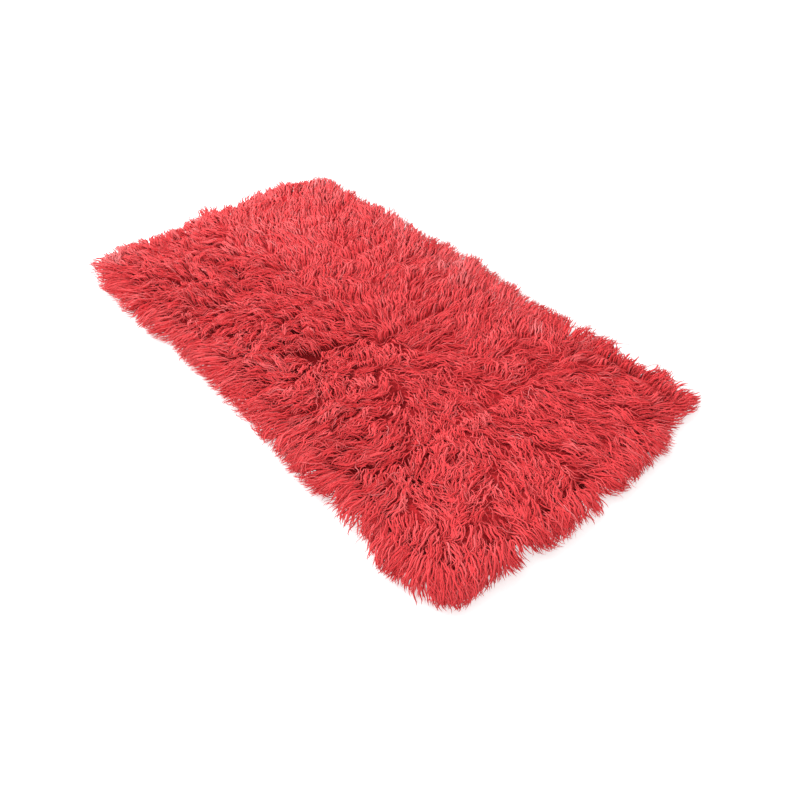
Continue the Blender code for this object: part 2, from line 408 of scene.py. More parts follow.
def light_table(name, settings):
    """A studio table of opal acrylic, lit softly from below, so that shadows on it are faint."""
    material, tree, shader = new_material(name)
    grain = add_node(tree, "ShaderNodeTexNoise", {"Scale": 40.0})
    rough = add_node(
        tree, "ShaderNodeMapRange", {"Value": grain.outputs["Fac"], "To Min": 0.85, "To Max": 0.95}
    )
    tree.links.new(rough.outputs[0], shader.inputs["Roughness"])
    shader.inputs["Base Color"].default_value = linear(settings.floor_colour)
    shader.inputs["Specular IOR Level"].default_value = 0.0
    shader.inputs["Emission Color"].default_value = linear(settings.glow_colour)
    shader.inputs["Emission Strength"].default_value = settings.floor_glow
    return material


def cells():
    """The x and y of the cells of the map, and both as arrays over the map."""
    xs = np.arange(-MAP_HALF_WIDTH, MAP_HALF_WIDTH + CELL, CELL)
    ys = np.arange(-MAP_HALF_LENGTH, MAP_HALF_LENGTH + CELL, CELL)
    return xs, ys, *np.meshgrid(xs, ys, indexing="ij")


def read_map(grid, x, y):
    """A map's values at points, blended between its cells."""
    across = np.clip((x + MAP_HALF_WIDTH) / CELL, 0.0, grid.shape[0] - 1.001)
    along = np.clip((y + MAP_HALF_LENGTH) / CELL, 0.0, grid.shape[1] - 1.001)
    i, j = across.astype(int), along.astype(int)
    a, b = across - i, along - j
    low = grid[i, j] * (1.0 - a) + grid[i + 1, j] * a
    high = grid[i, j + 1] * (1.0 - a) + grid[i + 1, j + 1] * a
    return low * (1.0 - b) + high * b


def comb_maps():
    """Maps of the direction in which the pile is combed, as two parts, of its curl, and of how far
    the strokes round a place agree, from 0 to 1."""
    _, _, x, y = cells()
    east, north, curl, total = (np.zeros_like(x) for _ in range(4))
    for stroke in STROKES:
        distance_squared = (x - stroke["x"]) ** 2 + (y - stroke["y"]) ** 2
        weight = np.exp(-distance_squared / (2.0 * STROKE_SPREAD ** 2)) + 1e-9
        heading = math.radians(stroke["heading"])
        east += weight * math.cos(heading)
        north += weight * math.sin(heading)
        curl += weight * stroke["curl"]
        total += weight
    east, north, curl = east / total, north / total, curl / total
    accord = np.hypot(east, north)
    for parting in PARTINGS:
        away_x, away_y, distance = away_from_line(x, y, parting["start"], parting["end"])
        push = parting["push"] * np.exp(-(distance / parting["spread"]) ** 2)
        east += push * away_x
        north += push * away_y
    length = np.maximum(np.hypot(east, north), 1e-6)
    return east / length, north / length, curl, accord


def area_map(areas):
    """A map of soft-edged areas: each area's amount at its middle, and 0 far from them all."""
    _, _, x, y = cells()
    amounts = np.zeros_like(x)
    for area in areas:
        across, along = (x - area["x"]) / area["reach"][0], (y - area["y"]) / area["reach"][1]
        amounts = np.maximum(amounts, area["amount"] * np.exp(-(across ** 2 + along ** 2)))
    return amounts


def rim_extra(points):
    """How much further than usual the tufts rooted at points near the rim reach."""
    extra = np.zeros(len(points))
    for tuft in RIM_TUFTS:
        centre = np.array([tuft["x"], tuft["y"]]) * (1.0 - 0.04 / math.hypot(tuft["x"], tuft["y"]))
        distance_squared = ((points - centre) ** 2).sum(axis=1)
        extra += tuft["extra"] * np.exp(-distance_squared / (2.0 * RIM_TUFT_SPREAD ** 2))
    return extra


def away_from_line(x, y, start, end):
    """At each point, the direction away from a line's nearest point, and the distance to it."""
    run_x, run_y = end[0] - start[0], end[1] - start[1]
    share = ((x - start[0]) * run_x + (y - start[1]) * run_y) / (run_x ** 2 + run_y ** 2)
    share = np.clip(share, 0.0, 1.0)
    off_x = x - start[0] - share * run_x
    off_y = y - start[1] - share * run_y
    distance = np.maximum(np.hypot(off_x, off_y), 1e-6)
    return off_x / distance, off_y / distance, distance


def ease(share):
    """Shares from 0 to 1, eased at both ends."""
    share = np.clip(share, 0.0, 1.0)
    return share * share * (3.0 - 2.0 * share)


def rim_lines():
    """The solid rug's outline: for bins along each axis, its lowest and highest reach across."""
    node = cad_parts[RUG_NODE]
    points = np.array([vertex.co for vertex in node.data.vertices])
    lines = []
    for along, across, half in ((1, 0, MAP_HALF_LENGTH), (0, 1, MAP_HALF_WIDTH)):
        middles = np.arange(-half, half + RIM_BIN, RIM_BIN)
        low, high = [], []
        for middle in middles:
            near = points[np.abs(points[:, along] - middle) < RIM_BIN, across]
            low.append(near.min() if len(near) else 0.0)
            high.append(near.max() if len(near) else 0.0)
        lines.append((middles, np.array(low), np.array(high)))
    return lines


def leaned(lines, right_lean, far_lean):
    """The outline with its right side and far end moved out."""
    (by_y, left, right), (by_x, near, far) = lines
    return (by_y, left, right + right_lean), (by_x, near, far + far_lean)


def room_to_rim(x, y, lines):
    """How far inside the rug's outline each point lies, below zero outside it."""
    (by_y, left, right), (by_x, near, far) = lines
    across = np.minimum(x - np.interp(y, by_y, left), np.interp(y, by_y, right) - x)
    along = np.minimum(y - np.interp(x, by_x, near), np.interp(x, by_x, far) - y)
    at_corner = CORNER_RADIUS - np.hypot(CORNER_RADIUS - across, CORNER_RADIUS - along)
    both_near = (across < CORNER_RADIUS) & (along < CORNER_RADIUS)
    return np.where(both_near, at_corner, np.minimum(across, along))


def height_map(lines, settings):
    """The pile's height: the solid's top, and past its wall a full, rounded rim."""
    xs, ys, x, y = cells()
    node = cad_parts[RUG_NODE]
    points = [vertex.co for vertex in node.data.vertices]
    tree = BVHTree.FromPolygons(points, [polygon.vertices for polygon in node.data.polygons])
    top = np.zeros_like(x)
    for i, px in enumerate(xs):
        for j, py in enumerate(ys):
            hit = tree.ray_cast(Vector((px, py, 1.0)), Vector((0.0, 0.0, -1.0)))[0]
            top[i, j] = hit.z if hit else 0.0
    room = room_to_rim(x, y, lines)
    fullness = np.sqrt(1.0 - (1.0 - np.clip(room / settings.overhang, 0.0, 1.0)) ** 2)
    rim = settings.edge_height + (settings.rim_height - settings.edge_height) * fullness
    inner = ease((room - settings.overhang) / (12.0 * MM))
    return rim * (1.0 - inner) + np.maximum(top, rim) * inner


def underwool_map(top, loose, cloth_lines, settings):
    """The height of the dense underwool, which slopes down where the outermost locks are rooted."""
    _, _, x, y = cells()
    room = room_to_rim(x, y, cloth_lines) - settings.underwool_inset
    share = settings.underwool_share - settings.loose_depth * loose
    return top * share * np.sqrt(np.clip(room / (38.0 * MM), 0.0, 1.0))


def plan_inside(u, v, lines, inset):
    """Places on the rug of points of a square, u and v from -1 to 1, an inset inside the outline."""
    (by_y, left, right), (by_x, near, far) = lines
    x = u * MAP_HALF_WIDTH
    y = v * MAP_HALF_LENGTH
    for _ in range(4):
        middle_x = 0.5 * (np.interp(y, by_y, left) + np.interp(y, by_y, right))
        half_x = 0.5 * (np.interp(y, by_y, right) - np.interp(y, by_y, left)) - inset
        middle_y = 0.5 * (np.interp(x, by_x, near) + np.interp(x, by_x, far))
        half_y = 0.5 * (np.interp(x, by_x, far) - np.interp(x, by_x, near)) - inset
        x, y = middle_x + u * half_x, middle_y + v * half_y
    radius = max(CORNER_RADIUS - 0.5 * inset, 0.5 * CORNER_RADIUS)
    corner_u = radius / np.maximum(half_x, CORNER_RADIUS)
    corner_v = radius / np.maximum(half_y, CORNER_RADIUS)
    past_u = np.clip((np.abs(u) - 1.0 + corner_u) / corner_u, 0.0, 1.0)
    past_v = np.clip((np.abs(v) - 1.0 + corner_v) / corner_v, 0.0, 1.0)
    x -= np.sign(u) * past_u * (1.0 - np.sqrt(1.0 - 0.5 * past_v ** 2)) * corner_u * half_x
    y -= np.sign(v) * past_v * (1.0 - np.sqrt(1.0 - 0.5 * past_u ** 2)) * corner_v * half_y
    return x, y


def soft_noise(spacing, rng):
    """A map of smooth random values, about -1.5 to 1.5, that changes over a spacing."""
    xs, ys, x, y = cells()
    columns = int(2.0 * MAP_HALF_WIDTH / spacing) + 4
    rows = int(2.0 * MAP_HALF_LENGTH / spacing) + 4
    knots = rng.normal(0.0, 1.0, (columns, rows))
    across, along = (x + MAP_HALF_WIDTH) / spacing, (y + MAP_HALF_LENGTH) / spacing
    i, j = across.astype(int), along.astype(int)
    a, b = ease(across - i), ease(along - j)
    low = knots[i, j] * (1.0 - a) + knots[i + 1, j] * a
    high = knots[i, j + 1] * (1.0 - a) + knots[i + 1, j + 1] * a
    return low * (1.0 - b) + high * b


class RugMaps:
    """What the pile is laid by: comb directions, curl, heights, outline and ground cloth."""

    def __init__(self, settings):
        self.east, self.north, self.curl, self.accord = comb_maps()
        self.loose = area_map(LOOSE_AREAS)
        # Paler tones: painted highlight, with some faded wool at the far-left corner.
        self.pale_tint = area_map(PALE_TINT_AREAS)
        self.cloth_lines = leaned(rim_lines(), 0.5 * settings.right_lean, 0.5 * settings.far_lean)
        self.lines = leaned(rim_lines(), settings.right_lean, settings.far_lean)
        self.cloth_inset = settings.cloth_inset
        self.top = height_map(self.lines, settings)
        rng = np.random.default_rng(settings.seed + 5)
        _, _, x, y = cells()
        self.top *= 1.0 + settings.lumpiness * (1.0 + self.loose) * soft_noise(0.045, rng)
        for parting in PARTINGS:
            distance = away_from_line(x, y, parting["start"], parting["end"])[2]
            self.top *= 1.0 - parting["depth"] * np.exp(-(distance / parting["spread"]) ** 2)
        self.top = np.minimum(self.top, HIGHEST)
        self.under = underwool_map(self.top, self.loose, self.cloth_lines, settings)
        self.swerve, self.wave, self.hook = (soft_noise(spacing, rng) for spacing in (0.055, 0.050, 0.040))


def jittered_grid(size, spacing, rng):
    """Places about a spacing apart on a rectangle of a size, with no rows to be seen.

    They are given as places on a square, u and v from -1 to 1."""
    across = max(int(round(size[0] / spacing)), 1)
    along = max(int(round(size[1] / spacing)), 1)
    i, j = np.meshgrid(np.arange(across), np.arange(along), indexing="ij")
    jitter = rng.uniform(-0.48, 0.48, (2, across, along))
    u = 2.0 * (i + 0.5 + jitter[0]) / across - 1.0
    v = 2.0 * (j + 0.5 + jitter[1]) / along - 1.0
    return np.stack([u.ravel(), v.ravel()], axis=1)


def edge_band(size, band, count, rng):
    """Random places in a band along the edges of a rectangle, as u and v from -1 to 1."""
    along = rng.uniform(-1.0, 1.0, count)
    inset = rng.uniform(0.0, 2.0, count) * band
    sign = rng.choice([-1.0, 1.0], count)
    longways = rng.uniform(0.0, size[0] + size[1], count) < size[1]
    u = np.where(longways, sign * (1.0 - inset / size[0]), along)
    v = np.where(longways, along, sign * (1.0 - inset / size[1]))
    return np.stack([u, v], axis=1)


def nearest(points, centres):
    """The number of the centre nearest to each point."""
    chosen = np.zeros(len(points), int)
    for start in range(0, len(points), 2000):
        block = points[start:start + 2000]
        gaps = ((block[:, None, :] - centres[None, :, :]) ** 2).sum(axis=2)
        chosen[start:start + 2000] = gaps.argmin(axis=1)
    return chosen


def step_shares(steps):
    """How far along the lock each of its rings lies, from 0 at the root to 1 at the tip."""
    return np.concatenate([[0.0], np.cumsum(steps)]) / sum(steps)


def lay(roots, habit, steps, maps):
    """The centre lines of locks that rise from their roots and lie down as the pile is combed.

    habit holds an array for each of a lock's length, layer, swerve, crimp, pitch and phase of the
    crimp's waves, hook and tip lift."""
    count = len(roots)
    ends = step_shares(steps)
    waves = np.minimum(habit["length"] / habit["pitch"], 0.28 * len(steps))
    path = np.zeros((count, len(steps) + 1, 3))
    path[:, 0, :2] = roots
    path[:, 0, 2] = np.maximum(read_map(maps.under, *roots.T) - 3.0 * MM, LOWEST)
    for number in range(len(steps)):
        share = 0.5 * (ends[number] + ends[number + 1])
        step = habit["length"] * (ends[number + 1] - ends[number])
        x, y, z = path[:, number].T
        east, north = read_map(maps.east, x, y), read_map(maps.north, x, y)
        crimp = habit["crimp"] * np.sin(2.0 * math.pi * (share * waves + habit["phase"]))
        hook = habit["hook"] * max(share - 0.5, 0.0) ** 1.3
        turn = habit["swerve"] + crimp * min(1.0, 0.3 + share) + hook
        ahead_x = east * np.cos(turn) - north * np.sin(turn)
        ahead_y = east * np.sin(turn) + north * np.cos(turn)
        risen = 0.5 + 0.5 * (1.0 - (1.0 - min(ends[number + 1] / 0.35, 1.0)) ** 2)
        lift = habit["tip_lift"] * max(share - 0.55, 0.0) / 0.45
        wanted = read_map(maps.top, x + ahead_x * step, y + ahead_y * step) * habit["layer"] * risen + lift
        wanted = np.clip(wanted, LOWEST, HIGHEST)
        climb = np.clip(wanted - z, -0.70 * step, 0.88 * step)
        run = np.sqrt(step ** 2 - climb ** 2)
        path[:, number + 1, 0] = x + ahead_x * run
        path[:, number + 1, 1] = y + ahead_y * run
        path[:, number + 1, 2] = z + climb
    return path


def lay_to_rim(roots, habit, steps, maps, reach):
    """Lay locks so that those at the rim end about a reach inside its outline.

    A first try shows how much longer or shorter each of them has to be."""
    trial = lay(roots, habit, steps, maps)
    tip = trial[:, -1]
    spare = room_to_rim(tip[:, 0], tip[:, 1], maps.lines) - reach
    at_root = room_to_rim(roots[:, 0], roots[:, 1], maps.lines)
    span = np.maximum(np.linalg.norm(tip[:, :2] - roots, axis=1), 10.0 * MM)
    outward = (at_root - reach - spare) / span
    longer = np.where((at_root < RIM_BAND) & (outward > 0.35), np.maximum(spare, 0.0), 0.0)
    change = (longer + np.minimum(spare, 0.0)) / (span * np.maximum(outward, 0.35))
    fitted = dict(habit, length=habit["length"] * np.clip(1.0 + change, 0.45, 1.9))
    path = lay(roots, fitted, steps, maps)
    tip = path[:, -1]
    over = reach - 6.0 * MM - room_to_rim(tip[:, 0], tip[:, 1], maps.lines)
    span = np.maximum(np.linalg.norm(tip[:, :2] - roots, axis=1), 10.0 * MM)
    keep = np.clip(1.0 - np.maximum(over, 0.0) / span, 0.3, 1.0)
    path[:, :, :2] = path[:, :1, :2] + (path[:, :, :2] - path[:, :1, :2]) * keep[:, None, None]
    return path


def gather(path, leader, strength, steps):
    """Draw locks together towards the leader of their tuft, more and more towards the tip."""
    share = step_shares(steps)[None, :, None]
    pull = strength[:, None, None] * share ** 1.2
    return path + (leader - path) * pull


def tube_shares(share, widest):
    """A lock's radius along it, as shares of its widest: slender root, full middle, fine tip."""
    root = 0.62 + 0.38 * ease(share / widest)
    tip = np.clip(1.0 - ((share - widest) / (1.0 - widest)) ** 2, 0.0, 1.0) ** 0.8
    return np.where(share < widest, root, 0.12 + 0.88 * tip)


def skin(path, radius, tone, steps, flatness, widest=0.35):
    """Closed tubes along the paths: their points, faces and UVs, as arrays."""
    count, rings = len(path), path.shape[1] - 1
    ends = step_shares(steps)
    ahead = np.gradient(path, axis=1)[:, :rings]
    ahead /= np.maximum(np.linalg.norm(ahead, axis=2, keepdims=True), 1e-9)
    side = np.stack([-ahead[..., 1], ahead[..., 0], np.zeros(ahead.shape[:2])], axis=2)
    side /= np.maximum(np.linalg.norm(side, axis=2, keepdims=True), 1e-9)
    above = np.cross(ahead, side)
    reach = radius[:, None] * tube_shares(ends[:-1], widest)[None, :]

    ring_points = np.empty((count, rings, LOCK_SIDES, 3))
    for corner in range(LOCK_SIDES):
        angle = math.pi * (0.5 + 2.0 * corner / LOCK_SIDES)
        offset = side * math.cos(angle) + above * math.sin(angle) * flatness
        ring_points[:, :, corner] = path[:, :rings] + offset * reach[:, :, None]
    points_each = rings * LOCK_SIDES + 1
    points = np.concatenate([ring_points.reshape(count, -1, 3), path[:, -1:]], axis=1)

    quads, quad_uvs, tips, tip_uvs = [], [], [], []
    for ring in range(rings):
        for corner in range(LOCK_SIDES):
            here = ring * LOCK_SIDES + corner
            beside = ring * LOCK_SIDES + (corner + 1) % LOCK_SIDES
            left, right = corner / LOCK_SIDES, (corner + 1) / LOCK_SIDES
            low, high = ends[ring], ends[ring + 1]
            if ring < rings - 1:
                quads.append((here, beside, beside + LOCK_SIDES, here + LOCK_SIDES))
                quad_uvs.append(((left, low), (right, low), (right, high), (left, high)))
            else:
                tips.append((here, beside, points_each - 1))
                tip_uvs.append(((left, low), (right, low), (0.5 * (left + right), high)))
    tips.append(tuple(reversed(range(LOCK_SIDES))))
    tip_uvs.append(((0.8, 0.0), (0.5, 0.02), (0.2, 0.0)))

    first = (np.arange(count) * points_each)[:, None, None]
    quad_faces = (first + np.array(quads)[None]).reshape(-1, 4)
    tip_faces = (first + np.array(tips)[None]).reshape(-1, 3)
    column = np.clip(tone, 0, TONES - 1).astype(int)[:, None, None]
    all_uvs = []
    for uvs in (np.array(quad_uvs), np.array(tip_uvs)):
        spread = np.broadcast_to(uvs[None], (count, *uvs.shape)).copy()
        spread[..., 0] = (column + 0.06 + 0.88 * spread[..., 0]) / TONES
        spread[..., 1] = 0.01 + 0.98 * spread[..., 1]
        all_uvs.append(spread.reshape(-1, 2))
    return points.reshape(-1, 3), quad_faces, tip_faces, np.concatenate(all_uvs)


def mesh_piece(name, points, quads, triangles, uvs, material):
    """One object of many closed locks, at the origin."""
    mesh = bpy.data.meshes.new(name)
    corners = np.concatenate([quads.ravel(), triangles.ravel()])
    sizes = np.concatenate([np.full(len(quads), 4), np.full(len(triangles), 3)])
    starts = np.concatenate([[0], np.cumsum(sizes)[:-1]])
    mesh.vertices.add(len(points))
    mesh.vertices.foreach_set("co", points.astype(np.float32).ravel())
    mesh.loops.add(len(corners))
    mesh.loops.foreach_set("vertex_index", corners.astype(np.int32))
    mesh.polygons.add(len(sizes))
    mesh.polygons.foreach_set("loop_start", starts.astype(np.int32))
    mesh.update(calc_edges=True)
    layer = mesh.uv_layers.new(name=BAKE_MAP)
    layer.uv.foreach_set("vector", uvs.astype(np.float32).ravel())
    mesh.shade_smooth()
    mesh.materials.append(material)
    piece = bpy.data.objects.new(name, mesh)
    bpy.context.scene.collection.objects.link(piece)
    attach(piece, RUG_BODY)
    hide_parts(RUG_NODE)
    return piece


def leans_out(points, maps):
    """How far locks at points belong to the right side or the far end, whose tips stand up."""
    (by_y, _, right), (by_x, _, far) = maps.cloth_lines
    room = np.minimum(
        np.interp(points[:, 1], by_y, right) - points[:, 0], np.interp(points[:, 0], by_x, far) - points[:, 1]
    )
    return 1.0 - ease(room / RIM_BAND - 0.3)


def rim_share(points, maps):
    """How far locks rooted at points belong to the rim, from 0 to 1."""
    return 1.0 - ease(room_to_rim(points[:, 0], points[:, 1], maps.lines) / RIM_BAND - 0.3)


def on_cloth(places, maps):
    """Points on the ground cloth at places given as u and v from -1 to 1."""
    x, y = plan_inside(places[:, 0], places[:, 1], maps.cloth_lines, maps.cloth_inset)
    return np.stack([x, y], axis=1)


def tuft_habits(centres, settings, maps, rng):
    """How the leading lock of each tuft lies."""
    count = len(centres)
    curl = read_map(maps.curl, centres[:, 0], centres[:, 1])
    length = settings.lock_length * rng.uniform(0.88, 1.08, count)
    loose = read_map(maps.loose, *centres.T)
    discord = 1.0 - read_map(maps.accord, *centres.T)
    at_rim = rim_share(centres, maps)
    swerve = 0.8 * read_map(maps.swerve, *centres.T) + 0.45 * rng.normal(0.0, 1.0, count)
    hook = 0.8 * read_map(maps.hook, *centres.T) + 0.5 * rng.normal(0.0, 1.0, count)
    return dict(
        length=length,
        layer=rng.uniform(0.87 - 0.19 * loose, 1.10 + 0.06 * loose, count),
        swerve=swerve * (0.14 + 0.80 * curl + 0.9 * discord) * (1.0 - 0.6 * at_rim),
        crimp=rng.uniform(0.30, 0.65, count) * (0.5 + 0.7 * curl),
        pitch=settings.crimp_length * (1.15 - 0.3 * curl) * rng.uniform(0.9, 1.15, count),
        phase=0.6 * read_map(maps.wave, *centres.T) + rng.normal(0.0, 0.08, count),
        hook=hook * (0.3 + 6.5 * curl ** 1.5),
        tip_lift=(rng.uniform(-13.0, 1.0, count) * (1.0 - 0.75 * curl) + 12.0 * leans_out(centres, maps)) * MM,
    )


def lock_habits(roots, tuft, centres, tufts, settings, maps, rng, stray):
    """How each lock lies: as its tuft does, with its crimp in step with it, and a little astray."""
    count = len(roots)
    curl = read_map(maps.curl, roots[:, 0], roots[:, 1])
    at_rim = rim_share(roots, maps)
    habits = {name: values[tuft].copy() for name, values in tufts.items()}
    offset = roots - centres[tuft]
    east, north = (read_map(grid, *centres.T)[tuft] for grid in (maps.east, maps.north))
    habits["phase"] += (offset[:, 0] * east + offset[:, 1] * north) / habits["pitch"]
    habits["length"] *= rng.uniform(0.86, 1.12, count)
    lowest = settings.lowest_layer * (1.0 - 0.75 * at_rim)
    share = lowest + (1.03 - lowest) * rng.uniform(0.0, 1.0, count) ** 0.7
    share *= np.where(rng.uniform(0.0, 1.0, count) < settings.filling, 0.86, 1.0)
    low_share = settings.skirt * np.maximum(leans_out(roots, maps), 0.5 * at_rim)
    skirt = rng.uniform(0.0, 1.0, count) < low_share
    share = np.where(skirt, rng.uniform(0.04, 0.30, count), share)
    habits["layer"] *= share
    habits["tip_lift"] *= ease((share - 0.45) / 0.35)
    habits["swerve"] += stray * rng.normal(0.0, 1.0, count) * (0.09 + 0.14 * curl + 0.09 * at_rim)
    habits["crimp"] += stray * rng.uniform(-0.05, 0.12, count)
    habits["crimp"] *= 1.0 - 0.4 * at_rim
    habits["phase"] += stray * rng.normal(0.0, 0.04, count)
    habits["hook"] += stray * rng.normal(0.0, 1.0, count) * (0.2 + 0.9 * curl)
    habits["hook"] *= 1.0 - 0.7 * at_rim
    habits["tip_lift"] += stray * rng.normal(0.0, 1.5 * MM, count)
    return habits


def lock_tones(roots, tuft, tuft_tones, maps, rng, spread):
    """Which of the dyed tones each lock takes: near its tuft's, and paler in the pale-tint areas of painted highlight,
    with some faded wool.
    """
    tone = tuft_tones[tuft] + rng.normal(0.0, spread, len(roots)) + read_map(maps.pale_tint, *roots.T)
    return np.clip(tone * TONES, 0, TONES - 1)


class GroundClothSettings(bpy.types.PropertyGroup):
    """The woven cloth that the pile is rooted in."""

    width: FloatProperty(name="Width", description="Width of the ground cloth", default=0.70, unit="LENGTH")
    length: FloatProperty(name="Length", description="Length of the ground cloth", default=1.40, unit="LENGTH")
    thickness: FloatProperty(
        name="Thickness", description="Thickness of the woven ground", default=0.0025, unit="LENGTH"
    )
    yarn_spacing: FloatProperty(
        name="Yarn spacing", description="Distance between the yarns of the weave", default=0.0032, unit="LENGTH"
    )
    yarn_colour: StringProperty(name="Yarn colour", description="Dyed ground yarn, sRGB hex", default="B23A3E")
    shadow_colour: StringProperty(
        name="Shadow colour", description="Ground between its yarns, sRGB hex", default="6E1E22"
    )


class PileSettings(bpy.types.PropertyGroup):
    """The locks of wool."""

    lock_length: FloatProperty(
        name="Lock length", description="Length of a lock past the underwool", default=0.062, unit="LENGTH"
    )
    lock_radius: FloatProperty(
        name="Lock radius", description="Half the width of a lock at its widest", default=0.0022, unit="LENGTH"
    )
    lock_flatness: FloatProperty(
        name="Lock flatness", description="Thickness of a lock as a share of its width", default=0.36
    )
    underwool_share: FloatProperty(
        name="Underwool share", description="Height of the dense underwool as a share of the pile's", default=0.80
    )
    loose_depth: FloatProperty(
        name="Loose depth", description="How much lower the underwool is where the pile is loose", default=0.48
    )
    lumpiness: FloatProperty(
        name="Lumpiness", description="How uneven the pile's height is, as a share of it", default=0.09
    )
    underwool_inset: FloatProperty(
        name="Underwool inset", description="How far inside the outline the underwool ends", default=0.044,
        unit="LENGTH",
    )
    wisp_radius: FloatProperty(
        name="Wisp radius", description="Half the width of a loose wisp", default=0.0011, unit="LENGTH"
    )
    tuft_spacing: FloatProperty(
        name="Tuft spacing", description="Distance between tufts of gathered locks", default=0.024, unit="LENGTH"
    )
    crimp_length: FloatProperty(
        name="Crimp length", description="Length of one wave of a lock's crimp", default=0.028, unit="LENGTH"
    )
    lowest_layer: FloatProperty(
        name="Lowest layer", description="Lowest share of the pile's height at which a lock lies", default=0.94
    )
    near_density: FloatProperty(
        name="Near density", description="How much denser and finer the pile is at the near end", default=0.12
    )
    skirt: FloatProperty(
        name="Skirt",
        description="Share of the locks at the raised rims that lie low and hide the ground's edge",
        default=0.45,
    )
    filling: FloatProperty(
        name="Filling", description="Share of the locks that lie lower and fill the pile", default=0.30, min=0, max=1
    )
    overhang: FloatProperty(
        name="Overhang", description="How far the pile reaches past the firm part", default=0.044, unit="LENGTH"
    )
    rim_height: FloatProperty(
        name="Rim height", description="Height of the pile where its rim starts", default=0.037, unit="LENGTH"
    )
    cloth_inset: FloatProperty(
        name="Cloth inset", description="How far the ground cloth ends inside the outline", default=0.042,
        unit="LENGTH",
    )
    edge_height: FloatProperty(
        name="Edge height", description="Height of the top locks' tips at the outline", default=0.029, unit="LENGTH"
    )
    lean_reach: FloatProperty(
        name="Lean reach", description="How much further standing tips at those sides reach", default=0.010,
        unit="LENGTH",
    )
    right_lean: FloatProperty(
        name="Right lean", description="How far the right side leans out", default=0.014, unit="LENGTH"
    )
    far_lean: FloatProperty(
        name="Far lean", description="How far the far end leans out", default=0.050, unit="LENGTH"
    )
    # Painted shade: the colour of the underwool where it lies lowest in the pile.
    hollow_shade_colour: StringProperty(name="Hollow colour", description="Wool deep in the pile, sRGB hex", default="6A0E12")
    # Painted shade that the locks take between their strands and at their roots.
    shade_colour: StringProperty(
        name="Shade colour", description="Wool between the strands and at the roots, sRGB hex", default="7C161A"
    )
    deep_colour: StringProperty(name="Deep colour", description="Darkest dyed lock, sRGB hex", default="D63439")
    main_colour: StringProperty(name="Main colour", description="Usual dyed lock, sRGB hex", default="EA454B")
    light_colour: StringProperty(name="Light colour", description="Palest dyed lock, sRGB hex", default="F06A6D")
    # Palest tone: painted highlight, with some faded wool.
    highlight_colour: StringProperty(name="Faded colour", description="Bleached lock, sRGB hex", default="F28A8C")
    sheen_colour: StringProperty(name="Sheen colour", description="Glow of the fibres' ends, sRGB hex", default="FF9C96")
    sheen: FloatProperty(name="Sheen", description="Soft glow of wool at a flat angle", default=0.32, min=0, max=1)
    seed: IntProperty(name="Seed", description="Changes how the locks fall", default=11)


class StageSettings(bpy.types.PropertyGroup):
    """Floor, light and camera."""

    floor_colour: StringProperty(name="Floor colour", description="Opal acrylic, sRGB hex", default="C4C4C4")
    glow_colour: StringProperty(name="Glow colour", description="Light from below the floor, sRGB hex", default="FAFAFA")
    floor_glow: FloatProperty(name="Floor glow", description="Strength of the light from below", default=0.58)
    sky_strength: FloatProperty(name="Sky strength", description="Light from all round", default=1.05)
    key_power: FloatProperty(name="Key power", description="Power of the large soft lamp", default=165.0, unit="POWER")
    fill_power: FloatProperty(name="Fill power", description="Power of the front lamp", default=10.0, unit="POWER")
    azimuth: FloatProperty(
        name="Azimuth", description="Camera's turn round the rug", default=math.radians(-37.61), subtype="ANGLE"
    )
    elevation: FloatProperty(
        name="Elevation", description="Camera's angle above the floor", default=math.radians(40.86), subtype="ANGLE"
    )
    roll: FloatProperty(name="Roll", description="Camera's tilt", default=math.radians(-2.0), subtype="ANGLE")
    distance: FloatProperty(name="Distance", description="Camera to aim point", default=1.791, unit="LENGTH")
    aim: FloatVectorProperty(
        name="Aim", description="Point on the floor at the view's centre", default=(-0.088, -0.253, 0.0), size=3,
        subtype="TRANSLATION",
    )
    lens: FloatProperty(name="Lens", description="Focal length on a 36 mm sensor, in mm", default=36.58)


def deselect():
    """Leave object mode with nothing selected."""
    if bpy.context.object and bpy.context.object.mode != "OBJECT":
        bpy.ops.object.mode_set(mode="OBJECT")
    bpy.ops.object.select_all(action="DESELECT")


class RUG_OT_ground_cloth(bpy.types.Operator):
    """Weave the ground cloth: a thin sheet with rounded corners, flat on the floor"""

    bl_idname = "rug.ground_cloth"
    bl_label = "Ground Cloth"

    def execute(self, context):
        settings = context.scene.rug_ground
        deselect()
        maps = RugMaps(context.scene.rug_pile)
        bpy.ops.mesh.primitive_grid_add(x_subdivisions=28, y_subdivisions=56, size=2.0, location=(0, 0, 0))
        cloth = context.object
        cloth.name = "ground_cloth"
        cloth.data.name = "ground_cloth"
        for vertex in cloth.data.vertices:
            x, y = on_cloth(np.array([vertex.co[:2]]), maps)[0]
            vertex.co = (x, y, settings.thickness)
        solidify = cloth.modifiers.new("thickness", "SOLIDIFY")
        solidify.thickness = settings.thickness - 0.4 * MM
        solidify.offset = -1.0
        bpy.ops.object.modifier_apply(modifier=solidify.name)
        cloth.data.materials.append(woven_ground("woven_wool_ground", settings))
        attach(cloth, RUG_BODY)
        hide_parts(RUG_NODE)
        return {"FINISHED"}


